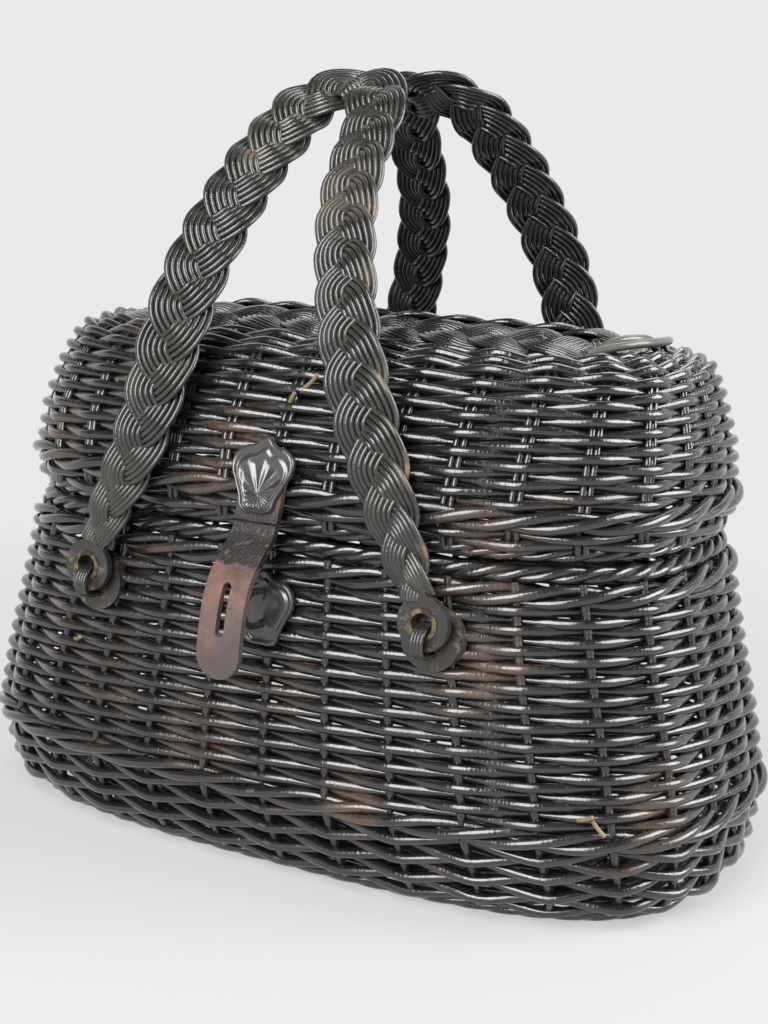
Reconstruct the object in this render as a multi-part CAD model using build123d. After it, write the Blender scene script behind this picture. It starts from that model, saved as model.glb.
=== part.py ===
from build123d import *
import math
import os

# Wicker market basket with a hinged domed lid, two plaited swing handles and
# a leather strap that closes over a staple. Millimetres, +Z up, +X along the
# basket, the front is -Y. The origin is on the floor under the middle.

# Side of the basket, outside of the weave: height, half length, half width.
base_half_length, base_half_width = 174.0, 86.0
foot_height, foot_half_length, foot_half_width = 11.5, 191.0, 99.0
belly_height, belly_half_length, belly_half_width = 43.0, 195.0, 114.0
flank_height, flank_half_length, flank_half_width = 78.0, 188.5, 113.0
waist_height, waist_half_length, waist_half_width = 112.0, 180.0, 110.8
rim_height, rim_half_length, rim_half_width = 161.0, 169.7, 107.0

# Lid, outside of the weave: rise above the rim and swell past the rim.
lid_gap = 0.4
brow_rise, brow_swell_x, brow_swell_y = 19.5, 1.0, 3.0
cheek_rise, cheek_swell_x, cheek_swell_y = 42.5, 0.0, -2.0
shoulder_rise, shoulder_swell_x, shoulder_swell_y = 65.0, -5.5, -14.0
crown_rise, crown_swell_x, crown_swell_y = 79.0, -10.0, -27.0
top_rise, top_swell_x, top_swell_y = 85.5, -27.0, -46.0

# Plan of the weave: straight runs between the stakes, round a squarish oval.
stake_count = 32
stake_phase = 0.3           # first stake past the middle of the front, in pitches
oval_power = 3.0            # 2 would be an ellipse, more is squarer

# Weave and rods.
wall_thickness = 7.0
seat_gap = 0.1              # a piece laid against another of the same body
stake_size = 4.4
stake_proud = 0.8           # how far a stake stands out of the weave
stake_end_gap = 1.0         # top of a side stake under the rim rod
lid_rod_width, lid_rod_depth = 7.6, 3.6
wale_height = 10.5
wale_edge_proud, wale_proud = 2.0, 3.6
rim_rod_radius = 4.0
lid_rod_radius = 3.5
rod_sides = 8

# Base: long sticks threaded through slit short sticks.
base_thickness = 8.0
long_stick_count, long_stick_pitch = 3, 15.0
long_stick_width, long_stick_height = 6.0, 3.2
short_stick_count, short_stick_pitch = 9, 36.0
short_stick_width, short_stick_height = 7.0, 5.0
stick_end_margin = 8.0

# Hinge of the lid: two lashed loops round the rim rod at the back.
hinge_shift, hinge_spacing = -8.0, 84.0
hinge_loop_width, hinge_loop_thickness = 7.0, 2.2
hinge_clearance, hinge_slack = 1.1, 0.5

# Handle feet: leather disc, leather tab, eyelet and lacing.
handle_shift = 2.0
foot_span = 177.0
pivot_height, pivot_reach = 127.5, 116.0
disc_diameter, disc_thickness = 28.0, 3.0
lace_width, lace_thickness, lace_radius = 6.0, 2.3, 6.5
lace_depth = 20.0
tab_end_diameter, tab_thickness, tab_length, tab_width = 24.0, 3.5, 32.0, 11.0
eyelet_rise, eyelet_hole, eyelet_outer, eyelet_flange = 8.0, 10.0, 14.0, 0.6
eyelet_wall = 1.2
eyelet_sides = 24

# Plaited handle: points on the middle line of the front handle.
handle_points = [
    (-82.5, -116.0, 146.0), (-74.5, -118.0, 165.0), (-60.0, -118.5, 197.0),
    (-50.0, -111.5, 241.0), (-46.0, -97.0, 275.0), (-41.0, -73.0, 309.0),
    (-35.0, -45.0, 339.0), (-28.0, -25.0, 357.0), (-11.0, -13.0, 366.0),
    (6.0, -25.0, 357.0), (12.0, -45.0, 339.0), (20.0, -73.0, 309.0),
    (34.0, -97.0, 275.0), (48.0, -111.5, 241.0), (67.0, -118.5, 197.0),
    (79.5, -118.0, 165.0), (86.5, -116.0, 146.0),
]
handle_width, handle_end_width = 27.0, 15.0
handle_thickness, handle_end_thickness = 10.0, 8.0
handle_taper_share = 0.16
handle_sections = 44
# Half section of the plait, as shares of its half width and half thickness.
handle_section = [(1.0, 0.35), (0.6, 1.0), (-0.6, 1.0), (-1.0, 0.35)]

# Plaited band round the top of the lid.
top_band_half_length, top_band_half_width = 140.0, 29.0
top_band_slot, top_band_thickness, top_band_chamfer = 3.0, 6.0, 2.5

# Latch: shield on the lid over the end of the strap, shield and staple below.
latch_x = 8.0
shield_width, shield_height, shield_thickness = 32.0, 34.0, 1.6
# Right edge of a shield from its point down, as shares of its half sizes.
shield_edge = [(0.0, 1.0), (0.3, 0.82), (0.6, 0.66), (0.9, 0.5), (1.0, 0.25), (0.93, -0.05),
               (0.8, -0.4), (0.7, -0.7), (0.66, -1.0)]
shield_relief = 0.8
shield_border_out, shield_border_in = 0.93, 0.76
flute_pitch, flute_length, flute_width, flute_drop = 4.5, 14.3, 2.2, 2.0
upper_shield_middle, lower_shield_middle = 188.0, 129.0
upper_shield_lean = 15.0
shield_stand_off = 0.3      # between the lower shield and the stakes
strap_width, strap_thickness = 22.0, 3.0
strap_root_length, strap_root_below = 27.5, 3.5
# Middle of the strap from its flexing line: out from the lid and down.
strap_drop = [(-3.0, -6.0), (-17.5, -19.0), (-24.5, -36.0), (-26.5, -53.0), (-26.0, -63.0)]
strap_flex_gap = 0.35
slot_length, slot_width = 23.0, 4.4
slot_middle_drop = 33.0
staple_height, staple_reach, staple_wire = 18.0, 19.0, 2.6
staple_bury = 4.2           # leg of the staple behind the lower shield


def facet_normals():
    """Direction of each run of weave, at equal pitches round the belly."""
    steps = 2400
    exponent = 2 / oval_power
    walk = []
    for i in range(steps + 1):
        turn = 2 * math.pi * i / steps - math.pi / 2
        c, s = math.cos(turn), math.sin(turn)
        walk.append((belly_half_length * math.copysign(abs(c) ** exponent, c),
                     belly_half_width * math.copysign(abs(s) ** exponent, s)))
    run = [0.0]
    for start, end in zip(walk, walk[1:]):
        run.append(run[-1] + math.dist(start, end))
    normals, i = [], 0
    for k in range(stake_count):
        goal = (k + 0.5 + stake_phase) * run[-1] / stake_count
        while run[i] < goal % run[-1] or run[i] > goal % run[-1] + 5:
            i = (i + 1) % steps
        x, y = walk[i]
        slope_x = math.copysign(abs(x / belly_half_length) ** (oval_power - 1), x)
        slope_y = math.copysign(abs(y / belly_half_width) ** (oval_power - 1), y)
        normals.append(Vector(slope_x / belly_half_length, slope_y / belly_half_width)
                       .normalized())
    return normals


normals = facet_normals()


def reach_of(half_length, half_width, normal):
    """Distance from the middle to the run of weave that faces along a normal."""
    power = oval_power / (oval_power - 1)
    return ((half_length * abs(normal.X)) ** power
            + (half_width * abs(normal.Y)) ** power) ** (1 / power)


class Level:
    """The plan of the weave at one height, moved out or in by an offset."""

    def __init__(self, profile, height, offset=0.0):
        half_length, half_width = size_at(profile, height)
        self.height = height
        self.reach = [reach_of(half_length, half_width, n) + offset for n in normals]

    def corner(self, k):
        """Where two runs of weave meet, and the direction out of that corner."""
        before, after = normals[k - 1], normals[k]
        d0, d1 = self.reach[k - 1], self.reach[k]
        det = before.X * after.Y - before.Y * after.X
        point = Vector((d0 * after.Y - d1 * before.Y) / det,
                       (d1 * before.X - d0 * after.X) / det, self.height)
        return point, (before + after).normalized()

    def plain(self):
        return [self.corner(k)[0] for k in range(stake_count)]

    def rod_square(self, k, width, depth, proud, gap=0.0):
        """Section of the stake at a corner, its outer face standing proud."""
        point, out = self.corner(k)
        along = Vector(-out.Y, out.X)
        middle = point + out * (proud - depth / 2)
        w, d = width / 2 + gap, depth / 2 + gap
        return [middle + along * x + out * y
                for x, y in ((-w, d), (-w, -d), (w, -d), (w, d))]

    def grooved(self, width, depth, proud):
        """The plan with a groove at each corner for its stake."""
        points = []
        for k in range(stake_count):
            left_out, left_in, right_in, right_out = self.rod_square(
                k, width, depth, proud, seat_gap)
            out = self.corner(k)[1]
            for place, side in ((left_out, k - 1), (right_out, k)):
                slack = self.reach[side] - (place.X * normals[side].X + place.Y * normals[side].Y)
                lip = place + out * (slack / (out.X * normals[side].X + out.Y * normals[side].Y))
                points += [lip, left_in] if side == k - 1 else [right_in, lip]
        return points


def size_at(profile, height):
    """Half length and half width of a profile at a height."""
    for low, high in zip(profile, profile[1:]):
        if height <= high[0]:
            share = (height - low[0]) / (high[0] - low[0])
            return tuple(low[i] + share * (high[i] - low[i]) for i in (1, 2))
    return profile[-1][1:]


def heights_between(profile, low, high):
    """Both heights, and the heights between them where the profile bends."""
    return [low] + [p[0] for p in profile if low + 0.5 < p[0] < high - 0.5] + [high]


def polygon_wire(points):
    return Wire.make_polygon(points, close=True)


def panel_faces(a, b, c, d):
    """One flat panel, or two where its corners aren't in one plane."""
    normal = (b - a).cross(c - a)
    if normal.length > 1e-9 and abs(normal.normalized().dot(d - a)) < 1e-6:
        return [Face(polygon_wire([a, b, c, d]))]
    return [Face(polygon_wire([a, b, c])), Face(polygon_wire([a, c, d]))]


def skin(loops, ring=False):
    """Panels between successive loops of points; a ring joins the last to the first."""
    faces = []
    pairs = list(zip(loops, loops[1:])) + ([(loops[-1], loops[0])] if ring else [])
    for low, high in pairs:
        for k in range(len(low)):
            faces += panel_faces(low[k - 1], low[k], high[k], high[k - 1])
    return faces


def solid_of(faces):
    solid = Solid(Shell(faces))
    return solid if solid.volume > 0 else -solid


def prism(loops):
    """Closed solid through loops of points, with a flat end at each side."""
    ends = [Face(polygon_wire(loops[0])), Face(polygon_wire(loops[-1]))]
    return solid_of(skin(loops) + ends)


def rods(profile, low, high, width, depth, proud):
    """One rod at every corner of the weave, following the profile."""
    levels = [Level(profile, z) for z in heights_between(profile, low, high)]
    return [prism([level.rod_square(k, width, depth, proud) for level in levels])
            for k in range(stake_count)]


def course(profile, low, high, width, depth, proud, closed_top=False):
    """Ring of weave with a groove for each stake; a closed top makes it a cap."""
    heights = heights_between(profile, low, high)
    outer = [Level(profile, z).grooved(width, depth, proud) for z in heights]
    inner_high = high - wall_thickness if closed_top else high
    inner = [Level(profile, z, -wall_thickness).plain()
             for z in heights_between(profile, low, inner_high)]
    faces = skin(outer) + skin(inner)
    faces.append(Face(polygon_wire(outer[0]), [polygon_wire(inner[0])]))
    if closed_top:
        faces += [Face(polygon_wire(outer[-1])), Face(polygon_wire(inner[-1]))]
    else:
        faces.append(Face(polygon_wire(outer[-1]), [polygon_wire(inner[-1])]))
    return solid_of(faces)


def wale(profile, low, high, width, depth, proud):
    """Three-rod wale that runs in front of the stakes: they pass through it."""
    quarter = (high - low) / 4
    stations = [(low, wale_edge_proud), (low + quarter, wale_proud),
                (high - quarter, wale_proud), (high, wale_edge_proud)]
    stations[2:2] = [(z, wale_proud) for z in heights_between(profile, low, high)[1:-1]]
    outer = [Level(profile, z, out).plain() for z, out in stations]
    inner = [Level(profile, z, -wall_thickness).plain() for z, _ in stations]
    faces = skin(outer) + skin(inner)
    bores = [[Level(profile, z).rod_square(k, width, depth, proud, seat_gap)
              for z in heights_between(profile, low, high)] for k in range(stake_count)]
    for bore in bores:
        faces += skin(bore)
    for end in (0, -1):
        holes = [polygon_wire(inner[end])] + [polygon_wire(bore[end]) for bore in bores]
        faces.append(Face(polygon_wire(outer[end]), holes))
    return solid_of(faces)


def ring_rod(profile, at_height, height, inset, radius):
    """Round rod bent into the oval, with its top edge level."""
    loops = []
    for j in range(rod_sides):
        turn = 2 * math.pi * (j + 0.5) / rod_sides
        level = Level(profile, at_height, radius * math.cos(turn) - inset)
        level.height = height + radius * math.sin(turn)
        loops.append(level.plain())
    return solid_of(skin(loops, ring=True))


def save(name, shape):
    """One STEP file for each named piece."""
    flat = [s for item in (shape if isinstance(shape, list) else [shape]) for s in item.solids()]
    export_step(flat[0] if len(flat) == 1 else Compound(children=flat), f"parts/{name}.step")


def turned(pieces):
    """The front pieces turned round to the back."""
    return [piece.rotate(Axis.Z, 180) for piece in pieces]


os.makedirs("parts", exist_ok=True)

side_profile = [
    (0.0, base_half_length, base_half_width),
    (foot_height, foot_half_length, foot_half_width),
    (belly_height, belly_half_length, belly_half_width),
    (flank_height, flank_half_length, flank_half_width),
    (waist_height, waist_half_length, waist_half_width),
    (rim_height, rim_half_length, rim_half_width),
]
seam_height = rim_height + lid_gap
lid_profile = [(seam_height, rim_half_length, rim_half_width)] + [
    (rim_height + rise, rim_half_length + swell_x, rim_half_width + swell_y)
    for rise, swell_x, swell_y in (
        (brow_rise, brow_swell_x, brow_swell_y),
        (cheek_rise, cheek_swell_x, cheek_swell_y),
        (shoulder_rise, shoulder_swell_x, shoulder_swell_y),
        (crown_rise, crown_swell_x, crown_swell_y),
        (top_rise, top_swell_x, top_swell_y),
    )
]
lid_top_height = rim_height + top_rise
rim_rod_height = rim_height - rim_rod_radius * math.cos(math.pi / rod_sides)
lid_rod_height = seam_height + lid_rod_radius * math.cos(math.pi / rod_sides)
hinge_axis_y = rim_half_width - rim_rod_radius
hinge_places = [hinge_shift - hinge_spacing / 2, hinge_shift + hinge_spacing / 2]
foot_places = [handle_shift - foot_span / 2, handle_shift + foot_span / 2]


# Lacing of the handles: out through the wall, round the lip of the tab and back.
def lacing(centre_x, grow=0.0):
    outer = lace_radius + lace_thickness / 2 + grow
    inner = lace_radius - lace_thickness / 2 - grow
    plane = Plane(origin=(centre_x, -pivot_reach, pivot_height), x_dir=(0, 1, 0),
                  z_dir=(-1, 0, 0))
    outline = Circle(outer) + Pos(lace_depth / 2, 0) * Rectangle(lace_depth, 2 * outer)
    inside = Circle(inner) + Pos((lace_depth - lace_thickness) / 2, 0) * Rectangle(
        lace_depth - lace_thickness, 2 * inner)
    return extrude(plane * (outline - inside), amount=lace_width / 2 + grow, both=True)


front_laces = [lacing(x) for x in foot_places]
laces = front_laces + turned(front_laces)
lace_holes = [lacing(x, seat_gap) for x in foot_places]
lace_holes += turned(lace_holes)


# Hinge loops and the room that they turn in.
loop_inner_radius = rim_rod_radius + hinge_clearance
loop_outer_radius = loop_inner_radius + hinge_loop_thickness
loop_inner_top = lid_rod_height + lid_rod_radius + hinge_slack
loop_outer_top = loop_inner_top + hinge_loop_thickness


def hinge_loop(centre_x):
    """Band that holds the border of the lid to the rim rod and turns on it."""
    span = loop_inner_top - loop_inner_radius - rim_rod_height
    plane = Plane(origin=(centre_x, hinge_axis_y, rim_rod_height + span / 2),
                  x_dir=(0, 0, 1), z_dir=(1, 0, 0))
    outline = (SlotCenterToCenter(span, 2 * loop_outer_radius)
               - SlotCenterToCenter(span, 2 * loop_inner_radius))
    return extrude(plane * outline, amount=hinge_loop_width / 2, both=True)


loops = [hinge_loop(x) for x in hinge_places]
loop_swing = loop_outer_radius + 2 * hinge_clearance
notches = [Pos(x, hinge_axis_y, rim_rod_height) * Box(
    hinge_loop_width + 2 * hinge_clearance, 4 * loop_swing, 2 * loop_swing) for x in hinge_places]


# Staple of the latch, that stands out of the wall through the lower shield.
def leaning_plane(x, y, z, lean):
    """Plane on the front of the basket that leans back by an angle in degrees."""
    turn = math.radians(lean)
    return Plane(origin=(x, y, z), x_dir=(1, 0, 0), z_dir=(0, -math.cos(turn), math.sin(turn)))


wall_low = size_at(side_profile, lower_shield_middle - shield_height / 2)[1]
wall_high = size_at(side_profile, lower_shield_middle + shield_height / 2)[1]
wall_lean = math.degrees(math.atan2(wall_low - wall_high, shield_height))
lower_y = -(size_at(side_profile, lower_shield_middle)[1] + stake_proud + shield_stand_off)
lower_plane = leaning_plane(latch_x, lower_y, lower_shield_middle, wall_lean)


def staple_loop(grow=0.0):
    """Bent wire whose two legs are in the wall."""
    side = Plane(origin=lower_plane.origin, x_dir=lower_plane.z_dir, z_dir=(1, 0, 0))
    middle = staple_reach - staple_height / 2
    length = middle + staple_bury
    outer, inner = staple_height / 2 + grow, staple_height / 2 - staple_wire - grow
    legs = Pos(middle - length / 2, 0)
    outline = Pos(middle, 0) * Circle(outer) + legs * Rectangle(length + 2 * grow, 2 * outer)
    inside = Pos(middle, 0) * Circle(inner) + legs * Rectangle(length + 4 * seat_gap, 2 * inner)
    return extrude(side * (outline - inside), amount=staple_wire / 2 + grow, both=True)


# Weave of the side in courses, and the stakes that it is woven round.
stake_top = rim_rod_height - rim_rod_radius - stake_end_gap
lower_wale_low = belly_height - wale_height / 2
lower_wale_high = belly_height + wale_height / 2
rim_wale_high = rim_rod_height - rim_rod_radius
rim_wale_low = rim_wale_high - wale_height
stake_shape = (stake_size, stake_size, stake_proud)
side_stakes = rods(side_profile, 0.0, stake_top, *stake_shape)
save("side_stakes", [stake - notches - lace_holes for stake in side_stakes])
save("foot_weave", course(side_profile, 0.0, lower_wale_low, *stake_shape))
save("lower_wale", wale(side_profile, lower_wale_low, lower_wale_high, *stake_shape))
side_weave = course(side_profile, lower_wale_high, rim_wale_low, *stake_shape)
save("side_weave", side_weave - lace_holes - staple_loop(seat_gap))
save("rim_wale", course(side_profile, rim_wale_low, rim_wale_high, *stake_shape) - notches)
save("rim_rod", ring_rod(side_profile, rim_height, rim_rod_height, rim_rod_radius,
                         rim_rod_radius))

# Base.
plate = prism([Level(side_profile, z, -wall_thickness - seat_gap).plain()
               for z in heights_between(side_profile, 0.0, base_thickness)])
stick_room_length = base_half_length - wall_thickness - stick_end_margin
stick_room_width = base_half_width - wall_thickness - stick_end_margin
stick_middle = short_stick_height / 2


def stick_reach(offset, reach, span):
    """Half length of a stick that stays inside the oval of the base."""
    return reach * (1 - (abs(offset) / span) ** oval_power) ** (1 / oval_power)


long_sticks, short_blanks = [], []
for k in range(long_stick_count):
    y = (k - (long_stick_count - 1) / 2) * long_stick_pitch
    half = stick_reach(y, stick_room_length, stick_room_width)
    long_sticks.append(Pos(0, y, stick_middle) * Box(2 * half, long_stick_width,
                                                     long_stick_height))
for k in range(short_stick_count):
    x = (k - (short_stick_count - 1) / 2) * short_stick_pitch
    half = stick_reach(x, stick_room_width, stick_room_length)
    short_blanks.append(Pos(x, 0, stick_middle) * Box(short_stick_width, 2 * half,
                                                      short_stick_height))
save("base_long_sticks", long_sticks)
save("base_short_sticks", [blank - long_sticks for blank in short_blanks])
save("base_weave", plate - short_blanks - long_sticks)

# Lid.
brow_middle = rim_height + brow_rise
brow_low, brow_high = brow_middle - wale_height / 2, brow_middle + wale_height / 2
skirt_low = lid_rod_height + lid_rod_radius * math.cos(math.pi / rod_sides) + seat_gap
rod_shape = (lid_rod_width, lid_rod_depth, stake_proud)
loop_room = [Pos(x, hinge_axis_y, skirt_low) * Box(
    hinge_loop_width + 2 * seat_gap, 4 * loop_swing, 2 * (loop_outer_top + seat_gap - skirt_low))
    for x in hinge_places]
lid_stakes = rods(lid_profile, skirt_low, lid_top_height, *rod_shape)
save("lid_stakes", [rod - loop_room for rod in lid_stakes])
save("lid_border", ring_rod(lid_profile, seam_height, lid_rod_height, rim_rod_radius,
                            lid_rod_radius))
save("lid_skirt", course(lid_profile, skirt_low, brow_low, *rod_shape) - loop_room)
save("lid_wale", wale(lid_profile, brow_low, brow_high, *rod_shape))
save("lid_crown", course(lid_profile, brow_high, lid_top_height, *rod_shape, closed_top=True))
save("hinge_loops", loops)
band_width = 2 * top_band_half_width
band = extrude(Plane.XY.offset(lid_top_height + seat_gap) * (
    SlotOverall(2 * top_band_half_length, band_width)
    - SlotOverall(2 * top_band_half_length - band_width + top_band_slot, top_band_slot)),
    amount=top_band_thickness)
save("lid_top_plait", chamfer(band.faces().sort_by(Axis.Z)[-1].outer_wire().edges(),
                              top_band_chamfer))


# Feet of the handles.
def wall_beside(centre_x):
    """How far out the weave stands behind the inner edge of a disc."""
    length, width = size_at(side_profile, pivot_height)
    share = (abs(centre_x) - disc_diameter / 2) / length
    return width * (1 - share ** oval_power) ** (1 / oval_power)


def foot_disc(centre_x):
    """Leather disc between the foot of the handle and the weave."""
    face_y = wall_beside(centre_x) + stake_proud + disc_thickness
    depth = disc_thickness + stake_size
    disc = Pos(centre_x, depth / 2 - face_y, pivot_height) * Rot(90, 0, 0) * Cylinder(
        disc_diameter / 2, depth)
    near = [s for s in side_stakes if abs(s.center().X - centre_x) < disc_diameter
            and s.center().Y < 0]
    disc = disc - side_envelope - near - lacing(centre_x, seat_gap)
    return disc.solids().sort_by(SortBy.VOLUME)[-1]


def foot_plane(centre_x):
    return Plane(origin=(centre_x, -pivot_reach, pivot_height + eyelet_rise),
                 x_dir=(1, 0, 0), z_dir=(0, -1, 0))


def handle_tab(centre_x, lean):
    """Leather tab: a round end at the eyelet and a tongue up into the plait."""
    tongue = Rot(0, 0, lean) * Pos(0, tab_length / 2) * Rectangle(tab_width, tab_length)
    outline = Circle(tab_end_diameter / 2) + tongue - Circle(eyelet_hole / 2 + eyelet_wall)
    return extrude(foot_plane(centre_x) * outline, amount=tab_thickness / 2, both=True)


def eyelet(centre_x):
    """Brass eyelet: a tube through the tab with a flange on each face."""
    plane = foot_plane(centre_x)
    hole = RegularPolygon(eyelet_hole / 2, eyelet_sides)
    tube = RegularPolygon(eyelet_hole / 2 + eyelet_wall, eyelet_sides) - hole
    flange = RegularPolygon(eyelet_outer / 2, eyelet_sides) - hole
    half = tab_thickness / 2
    return (extrude(plane * tube, amount=half, both=True)
            + extrude(plane.offset(half) * flange, amount=eyelet_flange)
            + extrude(plane.offset(-half) * flange, amount=-eyelet_flange))


side_envelope = prism([Level(side_profile, p[0], seat_gap).plain() for p in side_profile])
discs = [foot_disc(x) for x in foot_places]
eyelets = [eyelet(x) for x in foot_places]


def lean_of(first, second):
    return math.degrees(math.atan2(first[0] - second[0], second[2] - first[2]))


leans = [lean_of(handle_points[0], handle_points[1]),
         lean_of(handle_points[-1], handle_points[-2])]
tabs = [handle_tab(x, lean) for x, lean in zip(foot_places, leans)]


# Handles.
def handle_plait():
    """Flat tapering plait along its middle line, its face turned out from the lid."""
    line = Spline([Vector(*p) for p in handle_points])
    middle = Vector(0, hinge_axis_y, rim_rod_height)
    section = handle_section + [(-x, -y) for x, y in handle_section]
    stations = []
    for k in range(handle_sections + 1):
        share = k / handle_sections
        place, along = line @ share, (line % share).normalized()
        away = Vector(0, place.Y - middle.Y, place.Z - middle.Z).normalized()
        ease = min(1.0, max(0.0, (place.Z - pivot_height) / (lid_top_height - pivot_height)))
        away = (away * ease + Vector(0, -1, 0) * (1 - ease)).normalized()
        across = along.cross(away).normalized()
        away = across.cross(along).normalized()
        fullness = math.sin(min(min(share, 1 - share) / handle_taper_share, 1) * math.pi / 2)
        half_width = (handle_end_width + (handle_width - handle_end_width) * fullness) / 2
        half_thick = (handle_end_thickness
                      + (handle_thickness - handle_end_thickness) * fullness) / 2
        stations.append([place + across * (x * half_width) + away * (y * half_thick)
                         for x, y in section])
    return prism(stations)


plait = handle_plait()
tongue_room = [extrude(foot_plane(x) * Rot(0, 0, lean) * Pos(0, tab_length / 2) * Rectangle(
    tab_width + 2 * seat_gap, tab_length + 2 * seat_gap), amount=tab_thickness / 2 + seat_gap,
    both=True) for x, lean in zip(foot_places, leans)]
end_room = [extrude(foot_plane(x) * Circle(tab_end_diameter / 2 + seat_gap),
                    amount=handle_thickness, both=True) for x in foot_places]
plait = (plait - tongue_room - end_room).solids().sort_by(SortBy.VOLUME)[-1]
for name, pieces in (("plait", [plait]), ("tabs", tabs), ("eyelets", eyelets),
                     ("discs", discs), ("lacing", front_laces)):
    save(f"front_handle_{name}", pieces)
    save(f"rear_handle_{name}", turned(pieces))


# Latch.
def shield(plane):
    """Pointed shield with a raised border and three flutes."""
    def outline(scale):
        edge = [(x * scale * shield_width / 2, y * scale * shield_height / 2)
                for x, y in shield_edge]
        left = [(-x, y) for x, y in edge[:0:-1]]
        return make_face(Polyline(*(edge + left), close=True))
    plate = extrude(plane * outline(1.0), amount=shield_thickness)
    face = plane.offset(shield_thickness)
    border = outline(shield_border_out) - outline(shield_border_in)
    plate += extrude(face * border, amount=shield_relief)
    for k in (-1, 0, 1):
        flute = Pos(k * flute_pitch, -flute_drop) * Rectangle(flute_width, flute_length)
        plate += extrude(face * flute, amount=shield_relief)
    return plate


brow_face = size_at(lid_profile, brow_middle)[1] + wale_proud
wale_shelf = brow_high - wale_height / 4
upper_y = -brow_face + (upper_shield_middle - wale_shelf) * math.tan(
    math.radians(upper_shield_lean)) - seat_gap
root_plane = leaning_plane(latch_x, upper_y, upper_shield_middle, upper_shield_lean)
root_low = -shield_height / 2 - strap_root_below
strap_root = extrude(root_plane * Pos(0, root_low + strap_root_length / 2) * Rectangle(
    strap_width, strap_root_length), amount=strap_thickness)
save("strap_root", strap_root)
save("upper_shield", shield(root_plane.offset(strap_thickness + seat_gap)))

# The strap flexes at a round fold just below the end that is fixed to the lid.
strap_axis = root_plane.offset(strap_thickness / 2).from_local_coords(
    Vector(0, root_low - strap_flex_gap - strap_thickness / 2, 0))
side_plane = Plane(origin=strap_axis, x_dir=(0, 1, 0), z_dir=(1, 0, 0))
bow = Spline([Vector(0, 0)] + [Vector(*p) for p in strap_drop])
bow_steps = 16
front_edge, back_edge = [], []
for k in range(bow_steps + 1):
    place, along = bow @ (k / bow_steps), (bow % (k / bow_steps)).normalized()
    away = Vector(along.Y, -along.X, 0) * (strap_thickness / 2)
    front_edge.append(place + away)
    back_edge.append(place - away)
strap_side = make_face(Polyline(*(front_edge + back_edge[::-1]), close=True))
strap = extrude(side_plane * strap_side, amount=strap_width / 2, both=True)
strap += extrude(side_plane * Circle(strap_thickness / 2), amount=strap_width / 2, both=True)
end_middle = strap_axis.Z + strap_drop[-1][1] + strap_width / 2
strap_front = (Pos(0, end_middle) * Circle(strap_width / 2)
               + Pos(0, end_middle + shield_height) * Rectangle(strap_width, 2 * shield_height))
strap_slot = Pos(0, strap_axis.Z - slot_middle_drop) * SlotOverall(
    slot_length, slot_width, rotation=90)
outline_plane = Plane(origin=(latch_x, 0, 0), x_dir=(1, 0, 0), z_dir=(0, -1, 0))
strap = strap & extrude(outline_plane * (strap_front - strap_slot), amount=2 * pivot_reach)
save("strap", strap.solids().sort_by(SortBy.VOLUME)[-1])

save("staple", staple_loop())
save("lower_shield", shield(lower_plane) - staple_loop(seat_gap))
print("strap axis", round(strap_axis.Y, 3), round(strap_axis.Z, 3))
print("hinge axis", hinge_axis_y, round(rim_rod_height, 3))
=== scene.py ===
import math

import bmesh
import bpy
import numpy as np
from mathutils import Matrix, Vector


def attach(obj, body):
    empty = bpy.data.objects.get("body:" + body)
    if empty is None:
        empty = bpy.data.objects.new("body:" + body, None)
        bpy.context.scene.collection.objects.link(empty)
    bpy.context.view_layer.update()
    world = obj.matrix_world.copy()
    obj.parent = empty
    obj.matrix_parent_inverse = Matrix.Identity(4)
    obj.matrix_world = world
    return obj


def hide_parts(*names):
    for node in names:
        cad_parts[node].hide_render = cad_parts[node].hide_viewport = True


# Wicker market basket: every rod of the weave, the ropes of its wales, the two
# plaited handles and the finishes. Sizes are millimetres until a mesh is made.

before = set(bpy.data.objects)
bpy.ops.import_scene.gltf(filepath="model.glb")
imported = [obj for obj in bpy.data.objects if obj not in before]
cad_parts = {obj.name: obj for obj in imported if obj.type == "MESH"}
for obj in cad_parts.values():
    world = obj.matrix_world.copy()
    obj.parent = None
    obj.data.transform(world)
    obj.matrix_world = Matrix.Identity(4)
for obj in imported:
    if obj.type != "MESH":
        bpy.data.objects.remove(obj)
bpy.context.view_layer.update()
MM = 0.001

# The basket's outside: height, half length, half width.
side_profile = np.array([
    (0.0, 174.0, 86.0), (11.5, 191.0, 99.0), (43.0, 195.0, 114.0), (78.0, 188.5, 113.0),
    (112.0, 180.0, 110.8), (161.0, 169.7, 107.0)])
# The lid's outside, from the seam up over the dome.
lid_profile = np.array([
    (161.4, 169.7, 107.0), (180.5, 170.7, 110.0), (203.5, 169.7, 105.0), (226.0, 164.2, 93.0),
    (240.0, 159.7, 80.0), (246.5, 142.7, 61.0)])
belly_length, belly_width = 195.0, 114.0     # half length and half width at the belly
oval_power = 3.0           # 2 would be an ellipse, and more is squarer
stake_count = 32
stake_phase = 0.3          # first stake right of the middle of the front, in stakes

rod_radius = 2.36
row_pitch = 4.07
stake_depth = 2.9          # middle of a stake inside the outer face of the weave
weave_swing = 3.3          # how far a rod goes in front of a stake and behind it
stake_radius = 2.2
steps_per_stake = 8
bend_sharpness = 0.96      # 1 would fold a rod straight from stake to stake
rod_reach = 10.7           # stakes that a rod passes before the next one is laid in
rope_strands = 3
wale_turn, border_turn = 3.0, 1.5     # stakes that one turn of a rope passes

plait_bend = 1.1           # above 0, a strand lies along each edge before it crosses over
edge_fall = 0.22           # how much lower the outer rods of a strand lie
handle_period, handle_sway, handle_lift = 60.0, 7.5, 2.4
handle_rod, handle_rod_gap, handle_rods = 1.36, 2.66, 6
leg_turn = 0.44            # how far the flat face of each leg turns in towards the other leg

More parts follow.
